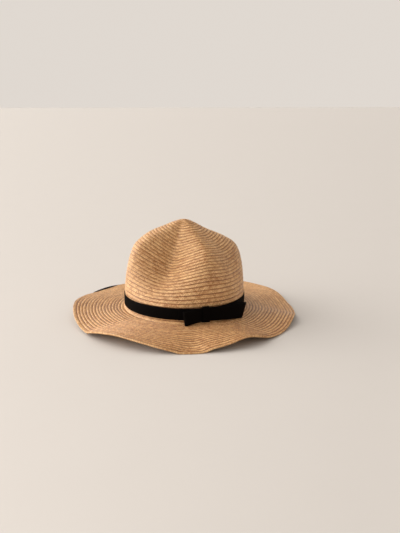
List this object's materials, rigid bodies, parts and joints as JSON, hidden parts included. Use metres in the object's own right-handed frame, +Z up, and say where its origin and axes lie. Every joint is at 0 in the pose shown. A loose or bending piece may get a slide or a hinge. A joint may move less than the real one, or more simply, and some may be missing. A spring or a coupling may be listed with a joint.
{
  "type": "ribbon sun hat",
  "caption": "Child's straw sun hat with a dented pointed crown, wide wavy brim, black ribbon with a flat side bow and a loose elastic chin strap.",
  "frame": {"origin": "on the surface that the hat rests on, under the crown's axis", "axes": "+Z up, the hat's front faces -Y, the wearer's left, where the bow is, is +X"},
  "size_m": [0.3282, 0.3144, 0.137],
  "materials": {
    "straw": "sewn paper-straw braid, matt with a faint sheen",
    "ribbon": "ribbed grosgrain, matt",
    "elastic": "woven elastic, matt"
  },
  "bodies": {
    "root": {"straw_body": "straw", "ribbon_band": "ribbon", "ribbon_lap": "ribbon", "bow_loop_rear": "ribbon", "bow_loop_front": "ribbon", "bow_knot": "ribbon", "chin_strap": "elastic"}
  },
  "joints": []
}
